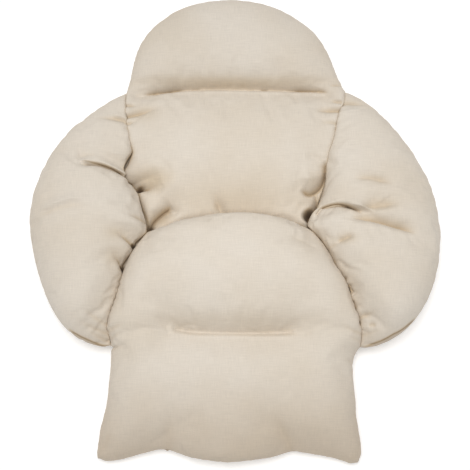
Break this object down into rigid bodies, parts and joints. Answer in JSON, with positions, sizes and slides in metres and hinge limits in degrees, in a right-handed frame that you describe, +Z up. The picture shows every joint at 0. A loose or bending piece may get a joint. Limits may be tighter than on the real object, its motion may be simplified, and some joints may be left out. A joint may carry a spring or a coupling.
{
  "type": "hanging chair cushion",
  "caption": "Thick lounging cushion for a hanging chair, with a domed headrest, a deep back, curved arm pads and a seat that runs on into a leg rest.",
  "frame": {"origin": "middle of the outline, on the surface the cushion lies on", "axes": "+Z up, out of the side that is sat on; +Y towards the top of the headrest; +X to the right for someone who stands at the leg rest and looks at the headrest"},
  "size_m": [1.0788, 1.2416, 0.1781],
  "materials": {
    "cover_back": "natural off-white cotton, plain weave, matt",
    "cover_seat": "natural off-white cotton, plain weave, matt",
    "cover_arm_left": "natural off-white cotton, plain weave, matt",
    "cover_arm_right": "natural off-white cotton, plain weave, matt"
  },
  "bodies": {
    "root": {"head_and_back": "cover_back", "seat_and_leg_rest": "cover_seat", "arm_left": "cover_arm_left", "arm_right": "cover_arm_right"}
  },
  "joints": []
}
